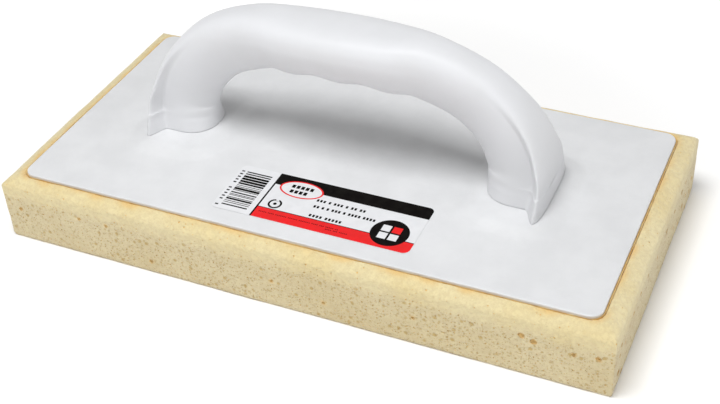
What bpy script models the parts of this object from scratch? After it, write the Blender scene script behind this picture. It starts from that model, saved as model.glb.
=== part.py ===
"""Sponge float: a thick sponge pad glued under a moulded plate that carries an arched handle.

Metres, +Z up, X along the pad. The origin is the centre of the pad's working face, so the
pad stands on Z = 0. The pieces are built from the pad upwards, and each one takes its height
from the piece that it lies on.
"""
import math

import bmesh
import bpy
from mathutils import Matrix, Vector

MM = 0.001

# Every pair of pieces that touch keeps this much air between their faces.
TOUCH_GAP = 0.3 * MM

# Sponge pad
PAD_LENGTH = 280 * MM
PAD_WIDTH = 140 * MM
PAD_THICKNESS = 30 * MM
PAD_RIM_RADIUS = 1.8 * MM

# Adhesive film between the pad and the plate
FILM_THICKNESS = 0.4 * MM
FILM_EDGE_INSET = 3 * MM

# Backing plate, with the margins of the pad that it leaves showing
PLATE_END_MARGIN = 8.5 * MM
PLATE_SIDE_MARGIN = 6.5 * MM
PLATE_THICKNESS = 2.3 * MM
PLATE_CORNER_RADIUS = 5.5 * MM
PLATE_RIM_RADIUS = 0.9 * MM

# Raised seats on the plate, one under each foot of the handle, hollow below
SEAT_LEDGE = 0.4 * MM
SEAT_END_SLOPE = 0.6 * MM
SEAT_SIDE_SLOPE = 1.6 * MM
SEAT_ROOF = 2.2 * MM
SEAT_SQUARENESS = 6
SEAT_SIDES = 40
RECESS_CLEARANCE = 1 * MM

# Handle
FOOT_SPACING = 159.4 * MM
GRIP_RISE = 51.6 * MM
FOOT_DEPTH = 28.4 * MM
FOOT_WIDTH = 23.4 * MM
BEND_DEPTH = 29 * MM
BEND_WIDTH = 22 * MM
GRIP_DEPTH = 26 * MM
GRIP_WIDTH = 30.4 * MM
HANDLE_WALL = 2.8 * MM
HANDLE_SQUARENESS = 2.3
TAIL_WIDTH = 43 * MM
TAIL_RISE = 28 * MM
TAIL_SQUARENESS = 4.5
TAIL_START = 0.4
TAIL_FULL = 0.9
HANDLE_FOOT_RADIUS = 0.7 * MM
FINGER_PITCH = 22.5 * MM
FINGER_DEPTH = 0.9 * MM
FINGER_COUNT = 3
# Sections between two stations, and points around a section
HANDLE_STEPS = 5
HANDLE_SIDES = 48
HOLLOW_STEPS = 4
HOLLOW_SIDES = 28

# Screws, two in each foot with their heads sunk into the plate, and the bosses in the
# handle that they bite into
SCREW_SPACING = 13 * MM
SCREW_SHANK_RADIUS = 1.7 * MM
SCREW_LENGTH = 11 * MM
SCREW_HEAD_RADIUS = 3.6 * MM
SCREW_HEAD_HEIGHT = 1.6 * MM
SCREW_HEAD_SINK = 0.2 * MM
SCREW_SLOT_WIDTH = 1 * MM
SCREW_SLOT_SPAN = 4.2 * MM
SCREW_SLOT_DEPTH = 0.9 * MM
BOSS_WALL = 1.9 * MM
BOSS_END = 2.5 * MM
WEB_THICKNESS = 2.4 * MM

# Printed label on the plate, set off from the middle and in from the plate's front edge
LABEL_LENGTH = 90.6 * MM
LABEL_WIDTH = 31.2 * MM
LABEL_THICKNESS = 0.2 * MM
LABEL_OFFSET = 4.9 * MM
LABEL_FRONT_MARGIN = 8.6 * MM
LABEL_CORNER_RADIUS = 2.6 * MM

# A cutter runs this far past the face that it opens.
CUT_PAST = 2 * MM

# Sizes that follow from the pad and the plate
PLATE_LENGTH = PAD_LENGTH - 2 * PLATE_END_MARGIN
PLATE_WIDTH = PAD_WIDTH - 2 * PLATE_SIDE_MARGIN
LABEL_CENTRE = (LABEL_OFFSET, LABEL_FRONT_MARGIN + LABEL_WIDTH / 2 - PLATE_WIDTH / 2)

# Heights that follow from the stack of pieces
FILM_BASE = PAD_THICKNESS + TOUCH_GAP
PLATE_BASE = FILM_BASE + FILM_THICKNESS + TOUCH_GAP
PLATE_TOP = PLATE_BASE + PLATE_THICKNESS
HEAD_TOP = PLATE_BASE + SCREW_HEAD_SINK + SCREW_HEAD_HEIGHT
ROOF_BASE = HEAD_TOP + TOUCH_GAP
SEAT_TOP = ROOF_BASE + SEAT_ROOF
HANDLE_BASE = SEAT_TOP + TOUCH_GAP

PILOT_RADIUS = SCREW_SHANK_RADIUS + TOUCH_GAP
BOSS_RADIUS = PILOT_RADIUS + BOSS_WALL
SCREW_TIP = HEAD_TOP + SCREW_LENGTH
PILOT_TOP = SCREW_TIP + TOUCH_GAP
BOSS_TOP = PILOT_TOP + BOSS_END
FEET = (FOOT_SPACING / 2, -FOOT_SPACING / 2)

# The handle's centre line from a foot to the middle of the grip. Each station gives its
# place as a share of the half spacing and of the rise, then how far its section has gone
# from the foot's to the bend's, and from the bend's to the grip's.
STATIONS = (
    (1.000, 0.000, 0.0, 0.0),
    (0.986, 0.279, 0.3, 0.0),
    (0.908, 0.565, 1.0, 0.0),
    (0.738, 0.822, 1.0, 0.0),
    (0.494, 0.980, 1.0, 0.2),
    (0.276, 0.988, 1.0, 0.8),
    (0.000, 1.000, 1.0, 1.0),
)


def clear_scene():
    for thing in list(bpy.data.objects):
        bpy.data.objects.remove(thing, do_unlink=True)


def plain_material(name, colour, roughness, metallic=0.0):
    made = bpy.data.materials.new(name)
    made.use_nodes = True
    shader = made.node_tree.nodes["Principled BSDF"]
    shader.inputs["Base Color"].default_value = (*colour, 1.0)
    shader.inputs["Roughness"].default_value = roughness
    shader.inputs["Metallic"].default_value = metallic
    return made


def finish_object(name, shape, material=None, smooth_angle=40):
    """Turn a bmesh into an object with outward faces. Without a material it is a cutter."""
    bmesh.ops.recalc_face_normals(shape, faces=shape.faces)
    mesh = bpy.data.meshes.new(name)
    shape.to_mesh(mesh)
    shape.free()
    mesh.shade_smooth()
    mesh.set_sharp_from_angle(angle=math.radians(smooth_angle))
    made = bpy.data.objects.new(name, mesh)
    bpy.context.collection.objects.link(made)
    if material:
        mesh.materials.append(material)
    else:
        made.hide_render = True
        made.display_type = "WIRE"
    return made


def combine(target, operation, tool):
    step = target.modifiers.new(f"{operation.lower()} {tool.name}", "BOOLEAN")
    step.operation = operation
    step.solver = "EXACT"
    step.object = tool


def slab(length, width, base, thickness, corner_radius, top_radius=0.0):
    """A flat board with round corners, and a round top edge if it has a top radius."""
    shape = bmesh.new()
    size = Matrix.Diagonal((length, width, thickness, 1))
    middle = Matrix.Translation((0, 0, base + thickness / 2))
    bmesh.ops.create_cube(shape, size=1, matrix=middle @ size)
    upright = [edge for edge in shape.edges if edge.verts[0].co.xy == edge.verts[1].co.xy]
    bmesh.ops.bevel(shape, geom=upright, offset=corner_radius, segments=6, profile=0.5,
                    affect="EDGES", material=-1)
    if top_radius:
        middle_height = base + thickness / 2
        top = [edge for edge in shape.edges
               if min(vert.co.z for vert in edge.verts) > middle_height]
        bmesh.ops.bevel(shape, geom=top, offset=top_radius, segments=3, profile=0.5,
                        affect="EDGES", material=-1)
    return shape


def cylinder(radius, base, top, sides=24):
    shape = bmesh.new()
    bmesh.ops.create_cone(shape, cap_ends=True, segments=sides, radius1=radius, radius2=radius,
                          depth=top - base, matrix=Matrix.Translation((0, 0, (base + top) / 2)))
    return shape


def squared(share, squareness):
    """Press a circle's coordinate out towards a square with round corners."""
    return math.copysign(abs(share) ** (2 / squareness), share)


def squared_outline(half_depth, half_width, squareness):
    """An ellipse pressed out towards a rectangle, given by the turn around it."""
    def at(turn):
        return (half_depth * squared(math.cos(turn), squareness),
                half_width * squared(math.sin(turn), squareness))
    return at


def add_ring(shape, sides, outline, place):
    """Add one section of a loft and return its edges in a list."""
    ring = bmesh.ops.create_circle(shape, segments=sides, radius=1)["verts"]
    for vert in ring:
        vert.co.xy = outline(math.atan2(vert.co.y, vert.co.x))
    bmesh.ops.transform(shape, matrix=place, verts=ring)
    return list({edge for vert in ring for edge in vert.link_edges})


def skin_rings(shape, rings):
    """Bridge each ring to the next and close both ends."""
    for lower, upper in zip(rings, rings[1:]):
        bmesh.ops.bridge_loops(shape, edges=lower + upper)
    for end in (rings[0], rings[-1]):
        bmesh.ops.contextual_create(shape, geom=end)


def catmull_rom(before, start, end, after, share):
    """A smooth curve from start to end that heads along its neighbours at each of them."""
    square = share * share
    cube = square * share
    return 0.5 * (2 * start + (end - before) * share
                  + (2 * before - 5 * start + 4 * end - after) * square
                  + (3 * start - 3 * end + after - before) * cube)


def handle_line(steps):
    """Points from the right foot to the left: X, Z, half depth and half width of a section."""
    half = []
    for along, up, bend, grip in STATIONS:
        depth = FOOT_DEPTH + bend * (BEND_DEPTH - FOOT_DEPTH) + grip * (GRIP_DEPTH - BEND_DEPTH)
        width = FOOT_WIDTH + bend * (BEND_WIDTH - FOOT_WIDTH) + grip * (GRIP_WIDTH - BEND_WIDTH)
        half.append(Vector((along * FOOT_SPACING / 2, HANDLE_BASE + up * GRIP_RISE,
                            depth / 2, width / 2)))
    knots = half + [Vector((-k.x, k.y, k.z, k.w)) for k in reversed(half[:-1])]
    # A mirrored neighbour before each end makes the line leave its foot straight up.
    for end, neighbour, at in ((knots[0], knots[1], 0), (knots[-1], knots[-2], len(knots) + 1)):
        knots.insert(at, Vector((neighbour.x, 2 * end.y - neighbour.y, neighbour.z, neighbour.w)))
    line = []
    for first in range(1, len(knots) - 2):
        line += [catmull_rom(*knots[first - 1:first + 3], step / steps) for step in range(steps)]
    return line + [knots[-2]]


def tail_share(height):
    """How much of the foot's outer tail is left at a height: all at the foot, none above."""
    left = max(0.0, 1 - (height - HANDLE_BASE) / TAIL_RISE)
    return left ** 1.3


def finger_wave(along):
    """The grip's underside: a row of low swellings that the fingers lie between."""
    reach = FINGER_COUNT * FINGER_PITCH / 2
    fade = min(1.0, max(0.0, (reach + FINGER_PITCH / 2 - abs(along)) / (FINGER_PITCH / 2)))
    return FINGER_DEPTH * fade * math.cos(2 * math.pi * along / FINGER_PITCH)


def handle_outline(half_depth, half_width, height, along):
    """One section: finger swellings on its inner side, and the foot's tail on its outer side."""
    share = tail_share(height)
    squareness = HANDLE_SQUARENESS + share * (TAIL_SQUARENESS - HANDLE_SQUARENESS)
    inner = squared_outline(half_depth, half_width, HANDLE_SQUARENESS)
    outer = squared_outline(half_depth, half_width, squareness)
    # The corner of a squared section stands a little inside its half width.
    corner = 0.5 ** (1 / squareness)
    widening = share * (TAIL_WIDTH / 2 / (corner * half_width) - 1)

    def at(turn):
        inward = -math.cos(turn)
        if inward > 0:
            depth, width = inner(turn)
            return depth - finger_wave(along) * inward ** 2, width
        depth, width = outer(turn)
        sweep = min(1.0, max(0.0, (depth / half_depth - TAIL_START) / (TAIL_FULL - TAIL_START)))
        sweep = sweep * sweep * (3 - 2 * sweep)
        return depth, width * (1 + widening * sweep)
    return at


def section_places(line):
    """A frame for each point of the line: X outward from the arch, Z along it."""
    places = []
    for index, point in enumerate(line):
        following = line[min(index + 1, len(line) - 1)]
        preceding = line[max(index - 1, 0)]
        run = Vector((following.x - preceding.x, 0, following.y - preceding.y)).normalized()
        if index in (0, len(line) - 1):
            # Both feet are cut level.
            run = Vector((0, 0, 1 if index == 0 else -1))
        places.append(Matrix((
            (run.z, 0, run.x, point.x),
            (0, 1, 0, 0),
            (-run.x, 0, run.z, point.y),
            (0, 0, 0, 1),
        )))
    return places


def handle_body():
    """The handle's outside, as a closed solid."""
    shape = bmesh.new()
    line = handle_line(HANDLE_STEPS)
    rings = [add_ring(shape, HANDLE_SIDES, handle_outline(point.z, point.w, point.y, point.x), place)
             for point, place in zip(line, section_places(line))]
    skin_rings(shape, rings)
    rim = [edge for edge in shape.edges
           if all(abs(vert.co.z - HANDLE_BASE) < 0.01 * MM for vert in edge.verts)]
    bmesh.ops.bevel(shape, geom=rim, offset=HANDLE_FOOT_RADIUS, segments=2, profile=0.5,
                    affect="EDGES", material=-1)
    return shape


def handle_hollow():
    """The space inside the handle's wall, running on down through both feet."""
    shape = bmesh.new()
    line = handle_line(HOLLOW_STEPS)
    places = section_places(line)
    down = Matrix.Translation((0, 0, -CUT_PAST))
    line = [line[0], *line, line[-1]]
    places = [down @ places[0], *places, down @ places[-1]]
    rings = [add_ring(shape, HOLLOW_SIDES,
                      squared_outline(point.z - HANDLE_WALL, point.w - HANDLE_WALL,
                                      HANDLE_SQUARENESS), place)
             for point, place in zip(line, places)]
    skin_rings(shape, rings)
    return shape


def make_pad():
    foam = plain_material("sponge", (0.80, 0.64, 0.36), 0.95)
    block = slab(PAD_LENGTH, PAD_WIDTH, 0, PAD_THICKNESS, PAD_RIM_RADIUS / 2, PAD_RIM_RADIUS)
    finish_object("sponge_pad", block, foam)


def make_film():
    glue = plain_material("adhesive", (0.72, 0.66, 0.48), 0.5)
    sheet = slab(PLATE_LENGTH - 2 * FILM_EDGE_INSET, PLATE_WIDTH - 2 * FILM_EDGE_INSET,
                 FILM_BASE, FILM_THICKNESS, PLATE_CORNER_RADIUS)
    finish_object("adhesive_film", sheet, glue)


def seat_loft(foot):
    """A low raised seat with sloping sides, wide enough for the foot and its tail."""
    shape = bmesh.new()
    half_depth = FOOT_DEPTH / 2 + SEAT_LEDGE
    half_width = max(FOOT_WIDTH, TAIL_WIDTH) / 2 + SEAT_LEDGE
    sunk = PLATE_TOP - PLATE_THICKNESS / 2
    rings = [add_ring(shape, SEAT_SIDES,
                      squared_outline(half_depth + spread * SEAT_END_SLOPE,
                                      half_width + spread * SEAT_SIDE_SLOPE, SEAT_SQUARENESS),
                      Matrix.Translation((foot, 0, height)))
             for spread, height in ((1, sunk), (1, PLATE_TOP), (0, SEAT_TOP))]
    skin_rings(shape, rings)
    return shape


def seat_recess(foot):
    """The hollow under a seat, where the screw heads lie."""
    shape = bmesh.new()
    reach = SCREW_HEAD_RADIUS + RECESS_CLEARANCE
    rings = [add_ring(shape, SEAT_SIDES,
                      squared_outline(SCREW_SPACING / 2 + reach, reach, SEAT_SQUARENESS),
                      Matrix.Translation((foot, 0, height)))
             for height in (PLATE_BASE - CUT_PAST, ROOF_BASE)]
    skin_rings(shape, rings)
    return shape


def screw_places():
    return [(foot + side * SCREW_SPACING / 2, 0) for foot in FEET for side in (-1, 1)]


def placed(shape, place):
    bmesh.ops.translate(shape, verts=shape.verts, vec=(*place, 0))
    return shape


def make_plate():
    moulding = plain_material("plate", (0.80, 0.82, 0.86), 0.5)
    board = slab(PLATE_LENGTH, PLATE_WIDTH, PLATE_BASE, PLATE_THICKNESS, PLATE_CORNER_RADIUS,
                 PLATE_RIM_RADIUS)
    plate = finish_object("backing_plate", board, moulding)
    for number, foot in enumerate(FEET, 1):
        combine(plate, "UNION", finish_object(f"seat_{number}", seat_loft(foot)))
    for number, foot in enumerate(FEET, 1):
        combine(plate, "DIFFERENCE", finish_object(f"seat_recess_{number}", seat_recess(foot)))
    for number, place in enumerate(screw_places(), 1):
        hole = cylinder(PILOT_RADIUS, ROOF_BASE - CUT_PAST, SEAT_TOP + CUT_PAST)
        combine(plate, "DIFFERENCE", finish_object(f"plate_hole_{number}", placed(hole, place)))


def make_handle():
    moulding = plain_material("handle", (0.78, 0.79, 0.82), 0.32)
    handle = finish_object("handle", handle_body(), moulding)
    core = finish_object("handle_core", handle_hollow())
    below = HANDLE_BASE - 2 * CUT_PAST
    for number, foot in enumerate(FEET, 1):
        web = slab(FOOT_DEPTH, WEB_THICKNESS, below, BOSS_TOP - below, WEB_THICKNESS / 4)
        combine(core, "DIFFERENCE", finish_object(f"web_{number}", placed(web, (foot, 0))))
    for number, place in enumerate(screw_places(), 1):
        boss = cylinder(BOSS_RADIUS, below - CUT_PAST, BOSS_TOP + BOSS_END)
        combine(core, "DIFFERENCE", finish_object(f"boss_{number}", placed(boss, place)))
    combine(handle, "DIFFERENCE", core)
    for number, place in enumerate(screw_places(), 1):
        pilot = cylinder(PILOT_RADIUS, HANDLE_BASE - CUT_PAST, PILOT_TOP)
        combine(handle, "DIFFERENCE", finish_object(f"pilot_{number}", placed(pilot, place)))


def screw_shape():
    """A turned screw standing on its head: rounded head, straight shank and a short point."""
    shape = bmesh.new()
    head_base = HEAD_TOP - SCREW_HEAD_HEIGHT
    dome = SCREW_HEAD_HEIGHT / 2
    outline = [(0, head_base), (SCREW_HEAD_RADIUS - dome, head_base)]
    outline += [(SCREW_HEAD_RADIUS - dome + dome * math.sin(turn), head_base + dome
                 - dome * math.cos(turn)) for turn in (math.pi / 8 * step for step in range(1, 5))]
    outline += [(SCREW_HEAD_RADIUS, HEAD_TOP), (SCREW_SHANK_RADIUS, HEAD_TOP),
                (SCREW_SHANK_RADIUS, SCREW_TIP - 2 * SCREW_SHANK_RADIUS), (0, SCREW_TIP)]
    points = [shape.verts.new((radius, 0, height)) for radius, height in outline]
    profile = [shape.edges.new(pair) for pair in zip(points, points[1:])]
    bmesh.ops.spin(shape, geom=points + profile, cent=(0, 0, 0), axis=(0, 0, 1),
                   angle=2 * math.pi, steps=24, use_merge=True)
    bmesh.ops.remove_doubles(shape, verts=shape.verts, dist=0.001 * MM)
    return shape


def make_screws():
    steel = plain_material("screw", (0.62, 0.62, 0.60), 0.35, 1.0)
    head_base = HEAD_TOP - SCREW_HEAD_HEIGHT
    for number, place in enumerate(screw_places(), 1):
        screw = finish_object(f"handle_screw_{number}", placed(screw_shape(), place), steel)
        for turn, size in enumerate(((SCREW_SLOT_SPAN, SCREW_SLOT_WIDTH),
                                     (SCREW_SLOT_WIDTH, SCREW_SLOT_SPAN)), 1):
            slot = slab(*size, head_base - SCREW_SLOT_DEPTH, 2 * SCREW_SLOT_DEPTH,
                        SCREW_SLOT_WIDTH / 8)
            tool = finish_object(f"screw_slot_{number}_{turn}", placed(slot, place))
            combine(screw, "DIFFERENCE", tool)


def make_label():
    film = plain_material("label", (0.85, 0.85, 0.86), 0.3)
    sticker = slab(LABEL_LENGTH, LABEL_WIDTH, PLATE_TOP + TOUCH_GAP, LABEL_THICKNESS,
                   LABEL_CORNER_RADIUS)
    finish_object("label", placed(sticker, LABEL_CENTRE), film)


clear_scene()
make_pad()
make_film()
make_plate()
make_handle()
make_screws()
make_label()
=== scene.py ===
import math
import random

import bmesh
import bpy
from mathutils import Matrix, Vector, kdtree, noise


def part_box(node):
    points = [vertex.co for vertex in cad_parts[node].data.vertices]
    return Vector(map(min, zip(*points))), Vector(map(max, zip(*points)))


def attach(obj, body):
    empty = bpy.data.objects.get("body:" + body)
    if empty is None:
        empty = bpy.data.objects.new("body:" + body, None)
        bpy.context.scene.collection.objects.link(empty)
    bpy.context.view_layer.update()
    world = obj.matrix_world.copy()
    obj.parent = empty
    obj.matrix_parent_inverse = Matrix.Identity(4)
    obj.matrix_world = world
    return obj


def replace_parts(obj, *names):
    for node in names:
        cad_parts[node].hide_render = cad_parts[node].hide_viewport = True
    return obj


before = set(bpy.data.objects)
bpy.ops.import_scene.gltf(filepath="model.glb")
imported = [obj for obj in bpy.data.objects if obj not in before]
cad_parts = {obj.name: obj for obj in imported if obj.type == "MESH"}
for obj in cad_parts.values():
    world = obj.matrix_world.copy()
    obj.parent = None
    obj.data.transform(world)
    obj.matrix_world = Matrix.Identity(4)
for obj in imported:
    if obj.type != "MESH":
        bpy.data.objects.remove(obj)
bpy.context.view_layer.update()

# Camera. A long lens looks down at the float from its front right corner, a little tilted,
# so that the label reads towards the viewer and the arch of the handle stands clear.
AZIMUTH = math.radians(26.23)
ELEVATION = math.radians(37.95)
ROLL = math.radians(-3.566)
CAMERA_DISTANCE = 0.560976
CAMERA_TARGET = Vector((0.008063, -0.009178, 0.015))

backward = Vector((math.sin(AZIMUTH) * math.cos(ELEVATION),
                   -math.cos(AZIMUTH) * math.cos(ELEVATION), math.sin(ELEVATION)))
level = Vector((math.cos(AZIMUTH), math.sin(AZIMUTH), 0))
upward = backward.cross(level)
right = level * math.cos(ROLL) + upward * math.sin(ROLL)
upward = upward * math.cos(ROLL) - level * math.sin(ROLL)
lens = bpy.data.cameras.new("camera")
lens.lens = 62.9
lens.sensor_width = 36
camera = bpy.data.objects.new("camera", lens)
bpy.context.collection.objects.link(camera)
camera.matrix_world = (Matrix.Translation(CAMERA_TARGET + backward * CAMERA_DISTANCE)
                       @ Matrix((right, upward, backward)).transposed().to_4x4())
bpy.context.scene.camera = camera

# Sponge pad. A block of open-celled polyurethane foam, sawn from a larger block, so its four
# sides and its working face are full of cut cells. Its top edge is worn soft by the press
# that glued it to the plate.
MM = 0.001
CELL = 1.6 * MM                    # spacing of the surface's points
CELL_JITTER = 0.2 * CELL
TOP_ROUNDING = 2.0 * MM
UPRIGHT_SQUARENESS = 10            # how crisp the upright edges stay
SIDE_UNEVENNESS = 0.45 * MM
FOOT_CHAMFER = 0.8 * MM            # the lowest edge is rubbed back a little
MARGIN_RISE = 2.5 * MM             # the foam swells up beside the plate's edge
MARGIN_FADE = 6 * MM               # and falls again this near to the block's edge
GROOVE_WIDTH = 1.1 * MM            # it leaves a narrow groove for the glue
# Along X, height and radius of the big open cells on the front side
FRONT_CELLS = ((102.6, 20.9, 1.35), (107.9, 19.4, 1.4), (124.1, 17.6, 1.0), (133.0, 19.3, 1.15),
               (126.5, 21.2, 0.8), (-131.4, 16.8, 1.1), (-100.1, 20.4, 0.9), (-64.4, 5.6, 1.0),
               (-6.0, 13.5, 0.8), (58.0, 14.2, 0.8), (-86.0, 21.2, 0.8), (17.5, 10.4, 0.75))
SIDE_CELLS = 110                   # big open cells scattered over the other faces
SCATTER_INSET = 5 * MM
SCATTER_HEIGHTS = (3 * MM, 23 * MM)
LARGE_CELL = 0.95 * MM             # cells from this radius on are sunk deeper
CELL_RIM = 0.4 * MM                # foam pushed back round a big cell
SMALL_CELLS = ((0.48 * MM, 0.07), (0.38 * MM, 0.16), (0.28 * MM, 0.24))
PRESSED_BAND = 6 * MM              # few cells stay open this near to the top
EDGE_TINT_WIDTH = 4.5 * MM             # the foam's top is tinted orange this far out from the plate


def add_node(tree, kind, inputs=None, **settings):
    """Add a shader node; an input takes a plain value or another node's socket."""
    made = tree.nodes.new(kind)
    for name, value in settings.items():
        setattr(made, name, value)
    for name, value in (inputs or {}).items():
        if isinstance(value, bpy.types.NodeSocket):
            tree.links.new(value, made.inputs[name])
        else:
            made.inputs[name].default_value = value
    return made


def mix_colours(tree, factor, first, second):
    """Blend two colours; socket 0 is the factor, 6 and 7 are the colours, 2 the result."""
    colours = [(*c, 1) if isinstance(c, tuple) else c for c in (first, second)]
    return add_node(tree, "ShaderNodeMix", {0: factor, 6: colours[0], 7: colours[1]},
                    data_type="RGBA").outputs[2]


def grade(tree, value, low, high, start=0.0, end=1.0):
    """Turn a value that runs from low to high into one that runs softly from start to end."""
    return add_node(tree, "ShaderNodeMapRange",
                    {"Value": value, "From Min": low, "From Max": high,
                     "To Min": start, "To Max": end},
                    interpolation_type="SMOOTHSTEP").outputs["Result"]


def calculate(tree, operation, first, second=0.0):
    return add_node(tree, "ShaderNodeMath", {0: first, 1: second},
                    operation=operation).outputs[0]


def noise_value(tree, place, scale, detail=2.0, roughness=0.5):
    return add_node(tree, "ShaderNodeTexNoise",
                    {"Vector": place, "Scale": scale, "Detail": detail,
                     "Roughness": roughness}).outputs["Fac"]


def start_material(name, **constants):
    """A new material, its tree, its Principled shader and the object's own coordinates."""
    made = bpy.data.materials.new(name)
    made.use_nodes = True
    tree = made.node_tree
    shader = tree.nodes["Principled BSDF"]
    for socket, value in constants.items():
        shader.inputs[socket.replace("_", " ")].default_value = value
    place = add_node(tree, "ShaderNodeTexCoord").outputs["Object"]
    return made, tree, shader, place


def connect_bump(tree, shader, height, distance, strength=1.0):
    bump = add_node(tree, "ShaderNodeBump",
                    {"Height": height, "Distance": distance, "Strength": strength})
    tree.links.new(bump.outputs["Normal"], shader.inputs["Normal"])


def cell_dots(tree, place, scale, radius, share):
    """Dots in a random share of the cells of an irregular grid."""
    cells = add_node(tree, "ShaderNodeTexVoronoi", {"Vector": place, "Scale": scale})
    dot = grade(tree, cells.outputs["Distance"], radius * 1.5, radius * 0.6)
    pick = add_node(tree, "ShaderNodeSeparateColor", {0: cells.outputs["Color"]}).outputs[0]
    chosen = grade(tree, pick, 1 - share - 0.02, 1 - share + 0.02)
    return calculate(tree, "MULTIPLY", dot, chosen)


def new_piece(name, shape, material, smooth_angle=40):
    """Make an object of a finished bmesh, with its place kept in the mesh."""
    mesh = bpy.data.meshes.new(name)
    shape.to_mesh(mesh)
    shape.free()
    mesh.materials.append(material)
    mesh.shade_smooth()
    mesh.set_sharp_from_angle(angle=math.radians(smooth_angle))
    piece = bpy.data.objects.new(name, mesh)
    bpy.context.collection.objects.link(piece)
    return piece


def eased(value):
    """Hold a value between 0 and 1 and soften both of its ends."""
    share = min(1, max(0, value))
    return share * share * (3 - 2 * share)


def outside_outline(point, half, corner, middle_x=0.0):
    """How far a point lies outside an oblong with round corners, seen from above."""
    across = Vector((abs(point.x - middle_x) - half.x + corner,
                     abs(point.y) - half.y + corner))
    if min(across) > 0:
        return across.length - corner
    return max(across) - corner


def foam_block(low, high):
    """The sawn block: an irregular triangle mesh with a soft top edge and uneven sides."""
    block = bmesh.new()
    size = high - low
    bmesh.ops.create_cube(block, size=1, matrix=Matrix.Translation((low + high) / 2)
                          @ Matrix.Diagonal((*size, 1)))
    for axis in range(3):
        along = [edge for edge in block.edges
                 if abs(edge.verts[0].co[axis] - edge.verts[1].co[axis]) > 1.5 * CELL]
        bmesh.ops.subdivide_edges(block, edges=along, cuts=round(size[axis] / CELL) - 1,
                                  use_grid_fill=True)
    block.normal_update()
    chance = random.Random(3)
    for vert in block.verts:
        for axis in range(3):
            shift = chance.uniform(-CELL_JITTER, CELL_JITTER)
            if abs(vert.normal[axis]) < 0.1:
                vert.co[axis] += shift
    bmesh.ops.triangulate(block, faces=block.faces, quad_method="SHORT_EDGE")
    for axis, half in ((0, plate_high.x), (1, plate_high.y)):
        for side in (-1, 1):
            for offset in (0.05 * MM, 0.5 * GROOVE_WIDTH, GROOVE_WIDTH):
                along = Vector((0, 0, 0))
                along[axis] = side
                cut = [face for face in block.faces if face.normal.z > 0.9]
                cut += list({edge for face in cut for edge in face.edges})
                bmesh.ops.bisect_plane(block, geom=cut, plane_co=along * (half + offset),
                                       plane_no=along, dist=0.01 * MM)
    inner_low = low + Vector((TOP_ROUNDING,) * 3)
    inner_high = high - Vector((TOP_ROUNDING,) * 3)
    for vert in block.verts:
        inner = Vector(min(max(vert.co[axis], inner_low[axis]), inner_high[axis])
                       for axis in range(3))
        inner.z = min(vert.co.z, inner_high.z)
        out = vert.co - inner
        across = ((abs(out.x) ** UPRIGHT_SQUARENESS + abs(out.y) ** UPRIGHT_SQUARENESS)
                  ** (1 / UPRIGHT_SQUARENESS))
        reach = math.hypot(across, out.z)
        if reach > TOP_ROUNDING:
            vert.co = inner + out * (TOP_ROUNDING / reach)
    block.normal_update()
    for vert in block.verts:
        swell = 0.5 * noise.noise(vert.co * 28) + 0.3 * noise.noise(vert.co * 140)
        past = outside_outline(vert.co, plate_high, PLATE_CORNER)
        if vert.normal.z < -0.9:
            vert.co.z += SIDE_UNEVENNESS * 0.3 * abs(swell)
        elif vert.co.z > high.z - TOP_ROUNDING and past > 0:
            rise = eased(past / GROOVE_WIDTH)
            edge = min(high.x - abs(vert.co.x), high.y - abs(vert.co.y))
            fall = eased(edge / MARGIN_FADE)
            vert.co += vert.normal * SIDE_UNEVENNESS * (swell - 0.45) * (1 - fall)
            vert.co.z += rise * (MARGIN_RISE * fall * (0.93 + 0.3 * swell))
        elif vert.co.z < high.z - 0.2 * MM:
            vert.co += vert.normal * SIDE_UNEVENNESS * (swell - 0.45)
        if vert.co.z < low.z + 0.3 * MM and past > FOOT_CHAMFER:
            vert.co.x -= math.copysign(min(FOOT_CHAMFER, max(
                0, abs(vert.co.x) - high.x + FOOT_CHAMFER)), vert.co.x)
            vert.co.y -= math.copysign(min(FOOT_CHAMFER, max(
                0, abs(vert.co.y) - high.y + FOOT_CHAMFER)), vert.co.y)
    return block


def sink_faces(block, faces, mark, steps):
    """Sink faces below the surface in steps of narrowing, depth and how far in they lie; how far
    in is kept in mark, which paints the hollow darker: painted shade.
    """
    for narrowing, depth, shade_inward in steps:
        bmesh.ops.inset_individual(block, faces=faces, thickness=narrowing, depth=-depth,
                                   use_even_offset=False)
        for face in faces:
            for vert in face.verts:
                vert[mark] = shade_inward


def bevel_to_holes(block, verts, offset, segments):
    """Cut each of these points off to leave a small face in its place."""
    made = bmesh.ops.bevel(block, geom=verts, offset=offset, offset_type="OFFSET",
                           segments=segments, profile=0.5, affect="VERTICES", material=-1)
    fresh = set(made["verts"])
    return [face for face in made["faces"] if all(vert in fresh for vert in face.verts)]


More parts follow.
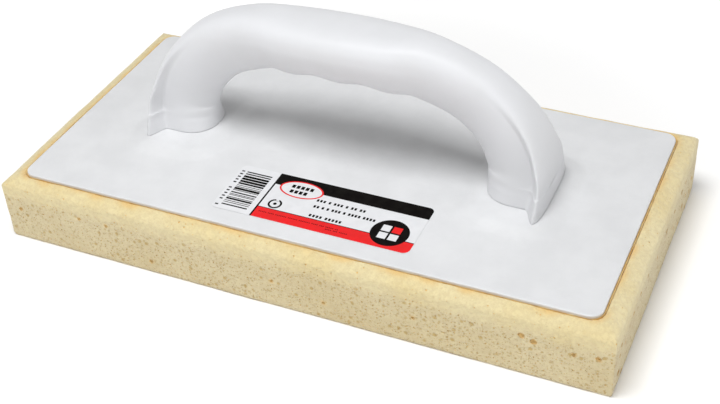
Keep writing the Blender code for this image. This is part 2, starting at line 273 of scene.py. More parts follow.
def open_big_cells(block, mark, wanted):
    """Open a round hollow with a ragged rim at the point nearest to each wanted place."""
    tree = kdtree.KDTree(len(block.verts))
    verts = list(block.verts)
    for index, vert in enumerate(verts):
        tree.insert(vert.co, index)
    tree.balance()
    middles = []
    taken = set()
    for place, radius in wanted:
        vert = verts[tree.find(place)[1]]
        ring = {edge.other_vert(vert) for edge in vert.link_edges}
        if ring & taken or vert in taken:
            continue
        taken |= ring | {vert}
        middles.append((vert, vert.co.copy(), vert.normal.copy(), radius))
        for other in ring:
            out = other.co - vert.co
            if out.length < radius + CELL_RIM:
                other.co = vert.co + out.normalized() * (radius + CELL_RIM)
            other[mark] = 0.1
    chance = random.Random(8)
    for low_radius, high_radius in ((0, LARGE_CELL), (LARGE_CELL, 9 * MM)):
        group = [item for item in middles if low_radius <= item[3] < high_radius]
        holes = bevel_to_holes(block, [item[0] for item in group], 0.45 * MM, 3)
        for face in holes:
            middle = face.calc_center_median()
            _, centre, normal, radius = min(group, key=lambda item: (item[1] - middle).length)
            for vert in face.verts:
                out = vert.co - centre
                out -= normal * out.dot(normal)
                vert.co = centre + out.normalized() * (radius * chance.uniform(0.88, 1.08))
                vert[mark] = 0.3
        unit = 0.75 * MM if high_radius < 1 * MM else 1.15 * MM
        # Each step inward raises the mark, so a big cell is painted darker towards its bottom:
        # painted shade in the hollow.
        sink_faces(block, holes, mark, ((0.12 * unit, 0.22 * unit, 0.5),
                                        (0.20 * unit, 0.26 * unit, 0.75),
                                        (0.30 * unit, 0.12 * unit, 1.0)))


def open_small_cells(block, mark, cut_face):
    """Open the small cells that the saw went through, in sizes that get more common."""
    chance = random.Random(21)
    candidates = [vert for vert in block.verts if vert[mark] == 0
                  and all(len(face.verts) == 3 for face in vert.link_faces)
                  and all(other.other_vert(vert)[mark] == 0 for other in vert.link_edges)]
    for radius, share in SMALL_CELLS:
        chosen = []
        blocked = set()
        for vert in candidates:
            if not vert.is_valid or vert in blocked:
                continue
            if chance.random() < share * cut_face(vert):
                chosen.append(vert)
                blocked.update(edge.other_vert(vert) for edge in vert.link_edges)
        picked = set(chosen)
        candidates = [vert for vert in candidates if vert not in picked]
        holes = bevel_to_holes(block, chosen, radius, 1)
        # The mark paints each small hollow the orange-brown of an open cell, which stands partly
        # for the shade inside it: painted shade.
        sink_faces(block, holes, mark, ((0.25 * radius, 0.7 * radius, 0.5),))


pad_low, pad_high = (Vector(corner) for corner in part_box("sponge_pad"))
plate_low, plate_high = (Vector(corner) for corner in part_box("backing_plate"))
PLATE_CORNER = 5.5 * MM
foam = foam_block(pad_low, pad_high)
shade_tint_layer = foam.verts.layers.float.new("pore_shade_and_edge_tint")
chance = random.Random(5)
big_cells = [(Vector((x * MM, pad_low.y, z * MM)), radius * MM) for x, z, radius in FRONT_CELLS]
for number in range(SIDE_CELLS):
    x = chance.uniform(pad_low.x + SCATTER_INSET, pad_high.x - SCATTER_INSET)
    y = chance.uniform(pad_low.y + SCATTER_INSET, pad_high.y - SCATTER_INSET)
    z = chance.uniform(*SCATTER_HEIGHTS)
    side = chance.choice(("back", "back", "left", "right", "below", "below", "below"))
    place = {"back": (x, pad_high.y, z), "left": (pad_low.x, y, z),
             "right": (pad_high.x, y, z), "below": (x, y, pad_low.z)}[side]
    big_cells.append((Vector(place), chance.choice((0.7, 0.8, 0.9, 1.1, 1.3)) * MM))
open_big_cells(foam, shade_tint_layer, big_cells)


def sawn_share(vert):
    """Sawn faces are full of open cells, and the pressed top has hardly any."""
    if vert.normal.z > 0.25:
        past = outside_outline(vert.co, plate_high, PLATE_CORNER)
        return 0.0 if past < GROOVE_WIDTH + 0.4 * MM else 0.12
    if vert.co.z > pad_high.z - PRESSED_BAND:
        return 0.2
    return 0.75 if vert.normal.z < -0.5 else 1.0


foam.normal_update()
open_small_cells(foam, shade_tint_layer, sawn_share)
for vert in foam.verts:
    past = outside_outline(vert.co, plate_high, PLATE_CORNER)
    # Tint the foam's top orange in a patchy band round the plate, strongest at the plate's edge
    # and fading outward.
    if vert.co.z > pad_high.z and vert[shade_tint_layer] == 0 and 0 < past < EDGE_TINT_WIDTH:
        patchy = max(0, 0.6 + 0.9 * noise.noise(vert.co * 130))
        vert[shade_tint_layer] = 0.65 * patchy * (1 - past / EDGE_TINT_WIDTH)
    for axis in (0, 1):
        vert.co[axis] = min(max(vert.co[axis], pad_low[axis]), pad_high[axis])
    vert.co.z = max(vert.co.z, pad_low.z)

foam_material, tree, shader, place = start_material(
    "cream_foam", Roughness=0.95, Sheen_Weight=0.3, Sheen_Roughness=0.6)
height = add_node(tree, "ShaderNodeSeparateXYZ", {0: place}).outputs["Z"]
waver = calculate(tree, "MULTIPLY", noise_value(tree, place, 90, 3), 5 * MM)
sawn = grade(tree, calculate(tree, "ADD", height, waver), 28 * MM, 22 * MM)
clouds = grade(tree, noise_value(tree, place, 38, 3), 0.35, 0.68)
grain = grade(tree, noise_value(tree, place, 520, 3, 0.7), 0.34, 0.66)
fine = cell_dots(tree, place, 1050, 0.30, 0.55)
middling = cell_dots(tree, place, 560, 0.25, 0.6)
coarse = cell_dots(tree, place, 250, 0.20, 0.7)
depth = add_node(tree, "ShaderNodeAttribute", attribute_name="pore_shade_and_edge_tint").outputs["Fac"]
cream = mix_colours(tree, clouds, (0.785, 0.68, 0.395), (0.76, 0.63, 0.325))
beige = mix_colours(tree, clouds, (0.715, 0.615, 0.375), (0.67, 0.56, 0.32))
colour = mix_colours(tree, sawn, cream, beige)
colour = mix_colours(tree, calculate(tree, "MULTIPLY", grain, 0.4), colour,
                     (0.60, 0.47, 0.25))
specks = calculate(tree, "MAXIMUM", calculate(tree, "MULTIPLY", fine, 0.6),
                   calculate(tree, "MULTIPLY", middling, 0.8))
specks = calculate(tree, "MAXIMUM", specks, coarse)
specks = calculate(tree, "MULTIPLY", specks, grade(tree, sawn, 0, 1, 0.15, 0.95))
colour = mix_colours(tree, specks, colour, (0.52, 0.36, 0.12))
# Open cells are painted orange-brown and their deepest parts darker brown: the cells' own colour
# deepened by painted shade in the hollows. The same attribute also tints the foam's top orange
# round the plate.
colour = mix_colours(tree, grade(tree, depth, 0.02, 0.5, 0, 0.8), colour,
                     (0.76, 0.50, 0.17))
colour = mix_colours(tree, grade(tree, depth, 0.6, 1.0, 0, 0.6), colour, (0.64, 0.40, 0.12))
tree.links.new(colour, shader.inputs["Base Color"])
web = add_node(tree, "ShaderNodeTexVoronoi", {"Vector": place, "Scale": 1500.0})
relief = calculate(tree, "ADD", calculate(tree, "MULTIPLY", web.outputs["Distance"], 0.5),
                   calculate(tree, "MULTIPLY", grain, 0.7))
relief = calculate(tree, "SUBTRACT", relief, specks)
connect_bump(tree, shader, relief, 0.35 * MM, 0.8)

pad = new_piece("sponge_block", foam, foam_material, 48)
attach(pad, "root")
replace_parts(pad, "sponge_pad")

# Adhesive. A thin film of amber contact glue joins the pad to the plate, and a little of it
# is squeezed out as an uneven bead in the corner between the plate's edge and the foam.
BEAD_REACH = 1.0 * MM              # how far the bead comes out past the plate
BEAD_TUCK = 1.1 * MM               # and how far it goes in under it
BEAD_RIPPLE = 0.5 * MM
BEAD_START = 0.8 * MM              # height before the outer half is drawn up
BEAD_HEIGHT = 2.5 * MM

glue_material, tree, shader, place = start_material("amber_glue", Roughness=0.38,
                                                    Coat_Weight=0.15)
runs = grade(tree, noise_value(tree, place, 160, 3), 0.3, 0.7)
colour = mix_colours(tree, runs, (0.80, 0.60, 0.27), (0.68, 0.43, 0.15))
tree.links.new(colour, shader.inputs["Base Color"])
tree.links.new(grade(tree, runs, 0, 1, 0.3, 0.55), shader.inputs["Roughness"])
connect_bump(tree, shader, noise_value(tree, place, 700, 2), 0.2 * MM)


def rounded_board(low, high, corner, segments=10):
    """The upper face of a flat board with round corners, as one face at the height of low."""
    board = bmesh.new()
    middle = (low + high) / 2
    bmesh.ops.create_grid(board, x_segments=1, y_segments=1, size=0.5,
                          matrix=Matrix.Translation((middle.x, middle.y, low.z))
                          @ Matrix.Diagonal((high.x - low.x, high.y - low.y, 1, 1)))
    bmesh.ops.bevel(board, geom=board.verts[:], offset=corner, segments=segments, profile=0.5,
                    affect="VERTICES", material=-1)
    return board


reach = Vector((BEAD_REACH, BEAD_REACH, 0))
bead = rounded_board(Vector((plate_low.x, plate_low.y, pad_high.z + 0.03 * MM)) - reach,
                     Vector((plate_high.x, plate_high.y, 0)) + reach,
                     PLATE_CORNER + BEAD_REACH)
bead_run = [edge for edge in bead.edges if edge.calc_length() > 20 * MM]
bmesh.ops.subdivide_edges(bead, edges=bead_run, cuts=160)
middle_face = list(bead.faces)
bmesh.ops.inset_region(bead, faces=middle_face, thickness=BEAD_REACH + BEAD_TUCK,
                       use_boundary=True, use_even_offset=True)
bmesh.ops.delete(bead, geom=middle_face, context="FACES")
lift = bmesh.ops.extrude_face_region(bead, geom=bead.faces[:])["geom"]
raised = [item for item in lift if isinstance(item, bmesh.types.BMVert)]
bmesh.ops.translate(bead, verts=raised, vec=(0, 0, BEAD_START))
for vert in bead.verts:
    if outside_outline(vert.co, plate_high, PLATE_CORNER) > 0:
        ripple = noise.noise(vert.co * 210) + 0.6 * noise.noise(vert.co * 620)
        inward = Vector((-vert.co.x / plate_high.x, -vert.co.y / plate_high.y, 0))
        inward = Vector((inward.x ** 25, inward.y ** 25, 0)).normalized()
        vert.co += inward * BEAD_RIPPLE * (0.5 - ripple * 0.5)
        if vert.co.z > pad_high.z + 0.5 * MM:
            vert.co.z += BEAD_HEIGHT - BEAD_START + 0.35 * MM * ripple
bmesh.ops.recalc_face_normals(bead, faces=bead.faces)
glue_bead = new_piece("glue_bead", bead, glue_material, 60)
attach(glue_bead, "root")
for film_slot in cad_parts["adhesive_film"].material_slots:
    film_slot.material = glue_material

# Backing plate. An injection moulded board of white polypropylene with a rounded rim and a
# low raised seat under each foot of the handle. Its face is faintly wavy where it shrank in
# the mould, and carries light scuffs.


def make_moulded_skin():
    """The skin of a white moulding: cloudy tone, gloss and height, with thin scuffs."""
    group = bpy.data.node_groups.new("moulded_skin", "ShaderNodeTree")
    face = group.interface
    face.new_socket("Place", in_out="INPUT", socket_type="NodeSocketVector")
    for name, value in (("Cloud Size", 40.0), ("Scuff Size", 90.0), ("Scuffs", 0.3),
                        ("Grain", 900.0)):
        face.new_socket(name, in_out="INPUT", socket_type="NodeSocketFloat").default_value = value
    for name in ("Tone", "Gloss", "Height"):
        face.new_socket(name, in_out="OUTPUT", socket_type="NodeSocketFloat")
    ins = group.nodes.new("NodeGroupInput").outputs
    out = group.nodes.new("NodeGroupOutput")
    cloud = grade(group, noise_value(group, ins["Place"], ins["Cloud Size"], 4, 0.6), 0.3, 0.7)
    sway = add_node(group, "ShaderNodeTexNoise", {"Vector": ins["Place"], "Scale": 22.0})
    bent = add_node(group, "ShaderNodeVectorMath",
                    {0: sway.outputs["Color"], 1: (0.03, 0.03, 0.03)}, operation="MULTIPLY")
    bent = add_node(group, "ShaderNodeVectorMath", {0: bent.outputs[0], 1: ins["Place"]},
                    operation="ADD")
    lines = []
    for turn, stretch in ((0.35, (1, 14, 1)), (1.9, (1, 18, 1)), (2.7, (1, 11, 1))):
        turned = add_node(group, "ShaderNodeVectorRotate", {"Vector": bent.outputs[0],
                                                            "Angle": turn})
        drawn = add_node(group, "ShaderNodeVectorMath", {0: turned.outputs[0], 1: stretch},
                         operation="MULTIPLY")
        streak = noise_value(group, drawn.outputs[0], ins["Scuff Size"], 5, 0.7)
        lines.append(grade(group, streak, 0.63, 0.72))
    scuffs = calculate(group, "MAXIMUM", calculate(group, "MAXIMUM", lines[0], lines[1]),
                       lines[2])
    scuffs = calculate(group, "MULTIPLY", scuffs, ins["Scuffs"])
    grain = noise_value(group, ins["Place"], ins["Grain"], 2)
    group.links.new(calculate(group, "SUBTRACT", cloud, calculate(
        group, "MULTIPLY", scuffs, 0.8)), out.inputs["Tone"])
    group.links.new(calculate(group, "ADD", calculate(group, "MULTIPLY", cloud, 0.4), calculate(
        group, "MULTIPLY", scuffs, 0.9)), out.inputs["Gloss"])
    height = calculate(group, "ADD", calculate(group, "MULTIPLY", cloud, 0.55),
                       calculate(group, "MULTIPLY", grain, 0.12))
    group.links.new(calculate(group, "SUBTRACT", height, calculate(
        group, "MULTIPLY", scuffs, 0.25)), out.inputs["Height"])
    return group


moulded_skin = make_moulded_skin()

plate_material, tree, shader, place = start_material(
    "white_board", IOR=1.49, Specular_IOR_Level=0.35)
skin = add_node(tree, "ShaderNodeGroup", node_tree=moulded_skin)
tree.links.new(place, skin.inputs["Place"])
skin.inputs["Cloud Size"].default_value = 55
skin.inputs["Scuff Size"].default_value = 70
skin.inputs["Scuffs"].default_value = 0.35
colour = mix_colours(tree, skin.outputs["Tone"], (0.675, 0.68, 0.69), (0.72, 0.725, 0.735))
# A few dark specks of regrind are moulded into the board.
regrind = cell_dots(tree, place, 26, 0.008, 0.35)
colour = mix_colours(tree, regrind, colour, (0.25, 0.24, 0.23))
tree.links.new(colour, shader.inputs["Base Color"])
tree.links.new(grade(tree, skin.outputs["Gloss"], 0, 1, 0.42, 0.62), shader.inputs["Roughness"])
connect_bump(tree, shader, skin.outputs["Height"], 0.35 * MM, 0.6)

PLATE_RIM = 0.5 * MM               # rounding of the upper edge
RIM_STEPS = 4
PLATE_WAVE = 0.14 * MM
WAVE_FADE = 8 * MM                 # the waves die away this near to the edge
GRID_STEP = 1.1 * MM
FOOT_SPACING = 159.4 * MM
SEAT_HALF = Vector((14.8 * MM, 22.9 * MM))
SEAT_CORNER = 6 * MM
SEAT_FADE = 9 * MM                 # width of the slope round a seat


def seat_height(point):
    """How high the nearer seat stands over the board's face at a point."""
    past = outside_outline(point, SEAT_HALF, SEAT_CORNER,
                           math.copysign(FOOT_SPACING / 2, point.x))
    share = min(1, max(0, 1 - past / SEAT_FADE))
    return (plate_high.z - board_top) * share * share * (3 - 2 * share)


def outward(point, half, corner):
    """The way straight out of the outline at a point on it."""
    return Vector([math.copysign(max(0, abs(point[axis]) - half[axis] + corner), point[axis])
                   for axis in (0, 1)] + [0]).normalized()


board_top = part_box("label")[0][2] - 0.3 * MM
face_half = Vector((plate_high.x - PLATE_RIM, plate_high.y - PLATE_RIM))
face_corner = PLATE_CORNER - PLATE_RIM
board = bmesh.new()
bmesh.ops.create_grid(board, x_segments=round(2 * face_half.x / GRID_STEP),
                      y_segments=round(2 * face_half.y / GRID_STEP), size=1,
                      matrix=Matrix.Translation((0, 0, board_top))
                      @ Matrix.Diagonal((*face_half, 1, 1)))
for vert in board.verts:
    in_corner = [(abs(vert.co[axis]) - face_half[axis]) / face_corner + 1 for axis in (0, 1)]
    if min(in_corner) > 0:
        for axis in (0, 1):
            other = in_corner[1 - axis]
            share = in_corner[axis] * math.sqrt(1 - other * other / 2)
            vert.co[axis] = math.copysign(face_half[axis] + (share - 1) * face_corner,
                                          vert.co[axis])
    inside = min(1, max(0, -outside_outline(vert.co, face_half, face_corner) / WAVE_FADE))
    wave = 0.5 + 0.5 * noise.noise(vert.co * 22) + 0.2 * noise.noise(vert.co * 70)
    vert.co.z += seat_height(vert.co) - PLATE_WAVE * inside * max(0, wave)
rim = [edge for edge in board.edges if edge.is_boundary]
turns = [math.pi / 2 * step / RIM_STEPS for step in range(RIM_STEPS + 1)]
for before, after in zip(turns, turns[1:]):
    grown = bmesh.ops.extrude_edge_only(board, edges=rim)["geom"]
    for vert in grown:
        if isinstance(vert, bmesh.types.BMVert):
            vert.co += (outward(vert.co, face_half, face_corner)
                        * (math.sin(after) - math.sin(before)) * PLATE_RIM)
            vert.co.z -= (math.cos(before) - math.cos(after)) * PLATE_RIM
    rim = [item for item in grown if isinstance(item, bmesh.types.BMEdge) and item.is_boundary]
grown = bmesh.ops.extrude_edge_only(board, edges=rim)["geom"]
for vert in grown:
    if isinstance(vert, bmesh.types.BMVert):
        vert.co.z = plate_low.z
rim = [item for item in grown if isinstance(item, bmesh.types.BMEdge) and item.is_boundary]
bmesh.ops.contextual_create(board, geom=rim)
bmesh.ops.recalc_face_normals(board, faces=board.faces)
plate = new_piece("moulded_plate", board, plate_material, 45)
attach(plate, "root")
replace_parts(plate, "backing_plate")

# Handle. One hollow moulding of satin white polypropylene: two feet with fishtails at their
# outer ends, two leaning bends and a broad grip with finger swellings below. Screws from
# under the plate hold its feet.
GRIP_RISE = 50.6 * MM
FOOT_DEPTH, FOOT_WIDTH = 28.4 * MM, 27.2 * MM
BEND_DEPTH, BEND_WIDTH = 29 * MM, 20 * MM
GRIP_DEPTH, GRIP_WIDTH = 27 * MM, 30.4 * MM
# How far the widest line lies outside the middle of a section, and how square the section
# is on its outer and inner sides
FOOT_CREST, BEND_CREST, GRIP_CREST = 0 * MM, 4.5 * MM, 4 * MM
FOOT_SQUARENESS = 2.3
BEND_INNER, GRIP_INNER = 1.8, 1.8
BEND_OUTER, GRIP_OUTER = 2.7, 3.0
TAIL_WIDTH, TAIL_RISE, TAIL_FADE = 44.4 * MM, 48 * MM, 1.7
TAIL_SQUARENESS = 3.9
TAIL_START, TAIL_FULL = 0.4, 0.9
FOOT_ROUNDING = 0.2 * MM
FINGER_PITCH, FINGER_DEPTH, FINGER_COUNT = 22.5 * MM, 0.8 * MM, 3
HANDLE_STEPS, HANDLE_SIDES = 14, 112
FRAME_GAP = 0.3 * MM               # air that model.glb keeps between touching pieces
FOOT_GAP = 0.05 * MM               # and what is left of it under the feet
SETTLE_FADE = 6 * MM               # the feet keep their shape up to this height
# Share of the half spacing and of the rise, then how far the section has gone from the
# foot's to the bend's and from the bend's to the grip's
STATIONS = (
    (1.000, 0.000, 0.0, 0.0),
    (0.999, 0.075, 0.30, 0.0),
    (0.996, 0.150, 0.56, 0.0),
    (0.984, 0.290, 0.86, 0.0),
    (0.908, 0.565, 1.0, 0.0),
    (0.738, 0.822, 1.0, 0.0),
    (0.494, 0.972, 1.0, 0.2),
    (0.276, 0.995, 1.0, 0.8),
    (0.000, 1.000, 1.0, 1.0),
)
handle_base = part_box("handle")[0][2]


def squared(share, squareness):
    """Press a circle's coordinate out towards a square with round corners."""
    return math.copysign(abs(share) ** (2 / squareness), share)


def squared_outline(half_depth, half_width, squareness):
    def at(turn):
        return (half_depth * squared(math.cos(turn), squareness),
                half_width * squared(math.sin(turn), squareness))
    return at


def catmull_rom(before, start, end, after, share):
    """A smooth curve from start to end that heads along its neighbours at each of them."""
    square = share * share
    cube = square * share
    return 0.5 * (2 * start + (end - before) * share
                  + (2 * before - 5 * start + 4 * end - after) * square
                  + (3 * start - 3 * end + after - before) * cube)


def handle_line(steps):
    """Points from the right foot to the left: X, Z and the station's two shares."""
    half = [Vector((along * FOOT_SPACING / 2, handle_base + up * GRIP_RISE, bend, grip))
            for along, up, bend, grip in STATIONS]
    knots = half + [Vector((-k.x, k.y, k.z, k.w)) for k in reversed(half[:-1])]
    for end, neighbour, at in ((knots[0], knots[1], 0), (knots[-1], knots[-2], len(knots) + 1)):
        knots.insert(at, Vector((neighbour.x, 2 * end.y - neighbour.y,
                                 2 * end.z - neighbour.z, neighbour.w)))
    line = []
    for first in range(1, len(knots) - 2):
        line += [catmull_rom(*knots[first - 1:first + 3], step / steps)
                 for step in range(steps)]
    return line + [knots[-2]]


def part_way(point, foot, bend, grip):
    """A size between the foot's, the bend's and the grip's, at a point of the line."""
    return foot + point.z * (bend - foot) + point.w * (grip - bend)


def tail_share(height):
    """How much of the foot's outer tail is left at a height."""
    return max(0.0, 1 - (height - handle_base) / TAIL_RISE) ** TAIL_FADE


def finger_wave(along):
    reach = FINGER_COUNT * FINGER_PITCH / 2
    fade = eased((reach + FINGER_PITCH / 2 - abs(along)) / FINGER_PITCH)
    return FINGER_DEPTH * fade * math.cos(2 * math.pi * along / FINGER_PITCH)


def handle_outline(point):
    """One section: finger swellings on the inner side, and the foot's tail on the outer."""
    half_depth = part_way(point, FOOT_DEPTH, BEND_DEPTH, GRIP_DEPTH) / 2
    half_width = part_way(point, FOOT_WIDTH, BEND_WIDTH, GRIP_WIDTH) / 2
    crest = part_way(point, FOOT_CREST, BEND_CREST, GRIP_CREST)
    share = tail_share(point.y)
    squareness = part_way(point, FOOT_SQUARENESS, BEND_OUTER, GRIP_OUTER)
    squareness += share * (TAIL_SQUARENESS - squareness)
    inner = squared_outline(half_depth + crest, half_width,
                            part_way(point, FOOT_SQUARENESS, BEND_INNER, GRIP_INNER))
    outer = squared_outline(half_depth - crest, half_width, squareness)
    corner = 0.5 ** (1 / squareness)
    widening = share * (TAIL_WIDTH / 2 / (corner * half_width) - 1)

    def at(turn):
        inward = -math.cos(turn)
        if inward > 0:
            depth, width = inner(turn)
            return crest + depth - finger_wave(point.x) * inward ** 2, width
        depth, width = outer(turn)
        sweep = eased((depth / (half_depth - crest) - TAIL_START) / (TAIL_FULL - TAIL_START))
        return crest + depth, width * (1 + widening * sweep)
    return at


def section_places(line):
    """A frame for each point of the line: X outward from the arch, Z along it."""
    places = []
    for index, point in enumerate(line):
        following = line[min(index + 1, len(line) - 1)]
        preceding = line[max(index - 1, 0)]
        run = Vector((following.x - preceding.x, 0, following.y - preceding.y)).normalized()
        if index in (0, len(line) - 1):
            run = Vector((0, 0, 1 if index == 0 else -1))
        places.append(Matrix(((run.z, 0, run.x, point.x), (0, 1, 0, 0),
                              (-run.x, 0, run.z, point.y), (0, 0, 0, 1))))
    return places


# Only the outside is modelled, because nothing shows the hollow.
arch = bmesh.new()
arch_line = handle_line(HANDLE_STEPS)
rings = []
for point, frame_at in zip(arch_line, section_places(arch_line)):
    ring = bmesh.ops.create_circle(arch, segments=HANDLE_SIDES, radius=1)["verts"]
    outline = handle_outline(point)
    for vert in ring:
        vert.co.xy = outline(math.atan2(vert.co.y, vert.co.x))
    bmesh.ops.transform(arch, matrix=frame_at, verts=ring)
    rings.append(list({edge for vert in ring for edge in vert.link_edges}))
for lower, upper in zip(rings, rings[1:]):
    bmesh.ops.bridge_loops(arch, edges=lower + upper)
for end in (rings[0], rings[-1]):
    bmesh.ops.contextual_create(arch, geom=end)
for vert in arch.verts:
    if vert.co.z < handle_base + 0.01 * MM:
        vert.co.z -= FRAME_GAP - FOOT_GAP
foot_rim = [edge for edge in arch.edges if max(v.co.z for v in edge.verts) < handle_base]
bmesh.ops.bevel(arch, geom=foot_rim, offset=FOOT_ROUNDING, segments=2, profile=0.5,
                affect="EDGES", material=-1)
bmesh.ops.recalc_face_normals(arch, faces=arch.faces)
arch.normal_update()
for vert in arch.verts:
    settle = noise.noise(vert.co * 45) * 0.22 * MM - 0.08 * MM
    lifted = min(1.0, max(0.0, (vert.co.z - handle_base) / SETTLE_FADE))
    vert.co += vert.normal * settle * lifted

handle_material, tree, shader, place = start_material(
    "satin_white", IOR=1.49, Specular_IOR_Level=0.3)
skin = add_node(tree, "ShaderNodeGroup", node_tree=moulded_skin)
tree.links.new(place, skin.inputs["Place"])
skin.inputs["Cloud Size"].default_value = 30
skin.inputs["Scuff Size"].default_value = 60
skin.inputs["Scuffs"].default_value = 0.15
skin.inputs["Grain"].default_value = 600
colour = mix_colours(tree, skin.outputs["Tone"], (0.665, 0.67, 0.685), (0.695, 0.70, 0.72))
tree.links.new(colour, shader.inputs["Base Color"])
tree.links.new(grade(tree, skin.outputs["Gloss"], 0, 1, 0.46, 0.6), shader.inputs["Roughness"])
connect_bump(tree, shader, skin.outputs["Height"], 0.2 * MM, 0.5)

handle = new_piece("handle_arch", arch, handle_material, 50)
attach(handle, "root")
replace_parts(handle, "handle")

# Screws. Two zinc-plated steel screws in each foot, driven up through the plate before the
# foam is glued on, so their heads lie out of sight under the seats.
steel_material, tree, shader, place = start_material("plated_steel", Metallic=1.0)
turned = add_node(tree, "ShaderNodeVectorMath", {0: place, 1: (1, 1, 30)},
                  operation="MULTIPLY").outputs[0]
marks = noise_value(tree, turned, 300, 4, 0.7)
colour = mix_colours(tree, grade(tree, marks, 0.3, 0.7), (0.50, 0.50, 0.49),
                     (0.66, 0.66, 0.64))
tree.links.new(colour, shader.inputs["Base Color"])
tree.links.new(grade(tree, marks, 0.3, 0.7, 0.28, 0.45), shader.inputs["Roughness"])
connect_bump(tree, shader, marks, 0.03 * MM)
for number in range(1, 5):
    for screw_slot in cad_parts[f"handle_screw_{number}"].material_slots:
        screw_slot.material = steel_material

# Label. A white vinyl sticker on the plate in front of the handle, printed in black and red:
# a block of scanner bars at its left, then a card with two bands, an oval, short lines of
# plain marks and a disc of four tiles.
LABEL_LEFT, LABEL_RIGHT = -40.4 * MM, 50.2 * MM
LABEL_FRONT, LABEL_BACK = -54.9 * MM, -23.7 * MM
CARD_LEFT = -21.8 * MM
STICKER_THICKNESS = 0.1 * MM
INK_THICKNESS = 0.012 * MM


def make_print_wear():
    """Slight unevenness of ink and film: a tone and a gloss that vary over the print."""
    group = bpy.data.node_groups.new("print_wear", "ShaderNodeTree")
    face = group.interface
    face.new_socket("Place", in_out="INPUT", socket_type="NodeSocketVector")
    face.new_socket("Blotch Size", in_out="INPUT",
                    socket_type="NodeSocketFloat").default_value = 250.0
    for name in ("Tone", "Gloss"):
        face.new_socket(name, in_out="OUTPUT", socket_type="NodeSocketFloat")
    ins = group.nodes.new("NodeGroupInput").outputs
    out = group.nodes.new("NodeGroupOutput")
    blotch = grade(group, noise_value(group, ins["Place"], ins["Blotch Size"], 4), 0.3, 0.7)
    creases = grade(group, noise_value(group, ins["Place"], 45, 3), 0.35, 0.65)
    group.links.new(blotch, out.inputs["Tone"])
    group.links.new(calculate(group, "MULTIPLY", blotch, creases), out.inputs["Gloss"])
    return group


print_wear = make_print_wear()


def ink_material(name, dull, fresh, gloss_level):
    made, tree, shader, place = start_material(name, Specular_IOR_Level=gloss_level)
    wear = add_node(tree, "ShaderNodeGroup", node_tree=print_wear)
    tree.links.new(place, wear.inputs["Place"])
    tree.links.new(mix_colours(tree, wear.outputs["Tone"], dull, fresh),
                   shader.inputs["Base Color"])
    tree.links.new(grade(tree, wear.outputs["Gloss"], 0, 1, 0.3, 0.5),
                   shader.inputs["Roughness"])
    return made


def print_block(shape, left, front, size_x, size_y, layer=0, corners=(), corner=0.0, turn=0.0):
    """A flat printed block; corners lists which of its four corners are round."""
    depth = INK_THICKNESS
    base = ink_base + layer * INK_THICKNESS
    middle = Vector((left + size_x / 2, front + size_y / 2, base + depth / 2))
    made = bmesh.ops.create_cube(
        shape, size=1, matrix=Matrix.Translation(middle) @ Matrix.Rotation(turn, 4, "Z")
        @ Matrix.Diagonal((size_x, size_y, depth, 1)))["verts"]
    if corners:
        edges = {edge for vert in made for edge in vert.link_edges
                 if edge.verts[0].co.xy == edge.verts[1].co.xy
                 and ((vert.co.x > middle.x, vert.co.y > middle.y) in corners)}
        bmesh.ops.bevel(shape, geom=list(edges), offset=corner, segments=8, profile=0.5,
                        affect="EDGES", material=-1)


def print_disc(shape, x, y, half_x, half_y, layer=0, sides=64):
    base = ink_base + layer * INK_THICKNESS
    bmesh.ops.create_cone(shape, cap_ends=True, segments=sides, radius1=1, radius2=1, depth=1,
                          matrix=Matrix.Translation((x, y, base + INK_THICKNESS / 2))
                          @ Matrix.Diagonal((half_x, half_y, INK_THICKNESS, 1)))


def print_line(shape, left, front, words, mark, gap, layer=0):
    """A row of plain upright marks, grouped by the numbers in words."""
    for count in words:
        for _ in range(count):
            print_block(shape, left, front, mark.x, mark.y, layer)
            left += mark.x + gap
        left += 1.6 * gap


def print_piece(name, shape, material):
    bmesh.ops.recalc_face_normals(shape, faces=shape.faces)
    piece = new_piece(name, shape, material)
    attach(piece, "root")
    return piece


ink_base = board_top + 0.01 * MM + STICKER_THICKNESS
sticker = rounded_board(Vector((LABEL_LEFT, LABEL_FRONT, board_top + 0.01 * MM)),
                        Vector((LABEL_RIGHT, LABEL_BACK, 0)), 2.6 * MM, 6)
upper = bmesh.ops.extrude_face_region(sticker, geom=sticker.faces[:])["geom"]
bmesh.ops.translate(sticker, vec=(0, 0, STICKER_THICKNESS),
                    verts=[item for item in upper if isinstance(item, bmesh.types.BMVert)])
vinyl = ink_material("white_vinyl", (0.71, 0.715, 0.73), (0.745, 0.75, 0.765), 0.5)
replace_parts(print_piece("sticker", sticker, vinyl), "label")

CARD_FRONT, CARD_BACK = -54.8 * MM, -23.8 * MM
BLACK_BAND, RED_BAND = 7.6 * MM, 6.8 * MM
OVAL = Vector((-8.3 * MM, -31.7 * MM))
RING = Vector((-14.9 * MM, -44.1 * MM))
TILE_DISC = Vector((38.3 * MM, -44.9 * MM))
TILE = 3.9 * MM
BARS_LEFT, BARS_WIDTH = -36.6 * MM, 12.2 * MM
BARS_FRONT, BARS_BACK = -51.6 * MM, -27.6 * MM
card_length = LABEL_RIGHT - CARD_LEFT

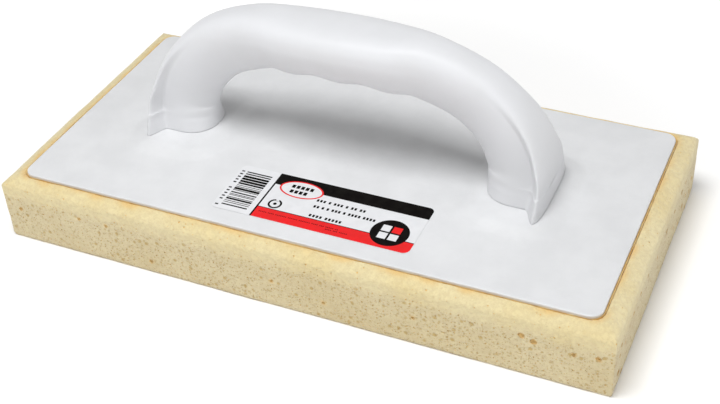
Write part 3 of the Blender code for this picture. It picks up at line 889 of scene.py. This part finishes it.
black = bmesh.new()
print_block(black, CARD_LEFT, CARD_BACK - BLACK_BAND, card_length, BLACK_BAND,
            corners=((True, True),), corner=2.5 * MM)
print_block(black, CARD_LEFT, CARD_FRONT, 0.8 * MM, CARD_BACK - CARD_FRONT - BLACK_BAND)
print_block(black, CARD_LEFT + 0.8 * MM, CARD_FRONT + RED_BAND, card_length - 0.8 * MM,
            0.4 * MM)
bold_mark = Vector((1.55 * MM, 2.1 * MM))
plain_mark = Vector((1.0 * MM, 1.6 * MM))
print_line(black, OVAL.x - 5.1 * MM, OVAL.y + 0.4 * MM, (5,), bold_mark, 0.6 * MM, 3)
print_line(black, OVAL.x - 4.6 * MM, OVAL.y - 3.0 * MM, (4,), bold_mark, 0.6 * MM, 3)
print_disc(black, *RING, 3.1 * MM, 3.1 * MM)
print_disc(black, *RING, 0.8 * MM, 0.8 * MM, 2)
print_line(black, 0.9 * MM, -36.4 * MM, (3, 1, 3, 1, 2, 2), plain_mark, 0.55 * MM)
print_line(black, 1.3 * MM, -40.6 * MM, (2, 1, 1, 3, 1, 4, 4), plain_mark, 0.5 * MM)
print_line(black, 2.0 * MM, -46.6 * MM, (4, 5), plain_mark, 0.6 * MM)
chance = random.Random(12)
tiny_mark = Vector((0.42 * MM, 0.5 * MM))
print_line(black, CARD_LEFT + 2.6 * MM, CARD_FRONT + 3.9 * MM,
           [chance.randint(2, 7) for _ in range(9)], tiny_mark, 0.34 * MM, 1)
print_line(black, TILE_DISC.x - 26 * MM, CARD_FRONT + 2.6 * MM, (4, 3, 5), tiny_mark,
           0.34 * MM, 1)
print_disc(black, *TILE_DISC, 8.3 * MM, 8.3 * MM, 2)
bar_top = BARS_BACK
while bar_top > BARS_FRONT:
    thick = chance.choice((0.4, 0.4, 0.75, 1.1, 1.4)) * MM
    print_block(black, BARS_LEFT, bar_top - thick, BARS_WIDTH, thick)
    bar_top -= thick + chance.choice((0.35, 0.35, 0.7, 0.7, 1.0)) * MM
for number in range(13):
    if number not in (1, 7):
        print_block(black, -39.2 * MM, -53.0 * MM + number * 2.05 * MM, 1.4 * MM, 0.8 * MM)
black_ink = ink_material("black_ink", (0.009, 0.008, 0.007), (0.005, 0.004, 0.004), 0.02)
print_piece("print_black", black, black_ink)

red = bmesh.new()
print_block(red, CARD_LEFT + 0.8 * MM, CARD_FRONT, card_length - 0.8 * MM, RED_BAND,
            corners=((True, False),), corner=3 * MM)
print_disc(red, *OVAL, 10.2 * MM, 5.6 * MM, 1)
print_block(red, TILE_DISC.x + 0.45 * MM, TILE_DISC.y + 0.45 * MM, TILE, TILE, 3)
red_ink = ink_material("red_ink", (0.70, 0.020, 0.020), (0.79, 0.016, 0.018), 0.12)
print_piece("print_red", red, red_ink)

white = bmesh.new()
print_disc(white, *OVAL, 9.4 * MM, 4.9 * MM, 2)
print_disc(white, *RING, 2.2 * MM, 2.2 * MM, 1)
print_block(white, RING.x - 0.5 * MM, RING.y + 1.8 * MM, 1.2 * MM, 1.6 * MM, 1, turn=0.6)
for column, row in ((0, 0), (1, 0), (0, 1)):
    print_block(white, TILE_DISC.x + 0.45 * MM - (1 - column) * (TILE + 0.9 * MM),
                TILE_DISC.y + 0.45 * MM - (1 - row) * (TILE + 0.9 * MM), TILE, TILE, 3)
print_piece("print_white", white, vinyl)

# Floor and light. A plain white sheet that glows a little further out, so that it stays
# white there, a soft box overhead and a little in front, wide weak ones low in front and on
# the right, and an even white surround.
FLOOR_HALF = 4
floor_material, tree, shader, place = start_material("white_sheet", Roughness=0.9)
tint = grade(tree, noise_value(tree, place, 3, 2), 0.3, 0.7)
tree.links.new(mix_colours(tree, tint, (0.955, 0.955, 0.955), (0.965, 0.965, 0.965)),
               shader.inputs["Base Color"])
shader.inputs["Specular IOR Level"].default_value = 0.2
shader.inputs["Emission Color"].default_value = (1, 1, 1, 1)
away = add_node(tree, "ShaderNodeVectorMath", {0: place}, operation="LENGTH").outputs["Value"]
tree.links.new(grade(tree, away, 0.13, 0.38, 0.03, 0.6), shader.inputs["Emission Strength"])
sheet = bmesh.new()
bmesh.ops.create_grid(sheet, x_segments=2, y_segments=2, size=FLOOR_HALF)
floor = new_piece("floor", sheet, floor_material)

surround = bpy.data.worlds.new("surround")
surround.use_nodes = True
sky = surround.node_tree.nodes["Background"]
sky.inputs["Color"].default_value = (1.0, 0.995, 0.985, 1)
sky.inputs["Strength"].default_value = 0.38
bpy.context.scene.world = surround


def soft_box(name, place, aim, size, power, colour=(1, 1, 1)):
    light = bpy.data.lights.new(name, "AREA")
    light.shape = "RECTANGLE"
    light.size, light.size_y = size
    light.energy = power
    light.color = colour
    lamp = bpy.data.objects.new(name, light)
    bpy.context.collection.objects.link(lamp)
    lamp.location = place
    lamp.rotation_euler = (Vector(aim) - Vector(place)).to_track_quat("-Z", "Y").to_euler()


soft_box("overhead_box", (-0.04, -0.25, 0.90), (0, 0, 0.03), (0.42, 0.35), 6.2,
         (0.985, 0.992, 1.0))
soft_box("front_fill", (-0.25, -1.2, 0.25), (0, 0, 0.04), (0.8, 0.4), 0.8)
soft_box("right_fill", (1.1, -0.25, 0.35), (0.1, 0, 0.03), (0.7, 0.5), 1.9)
bpy.context.scene.view_settings.view_transform = "Standard"
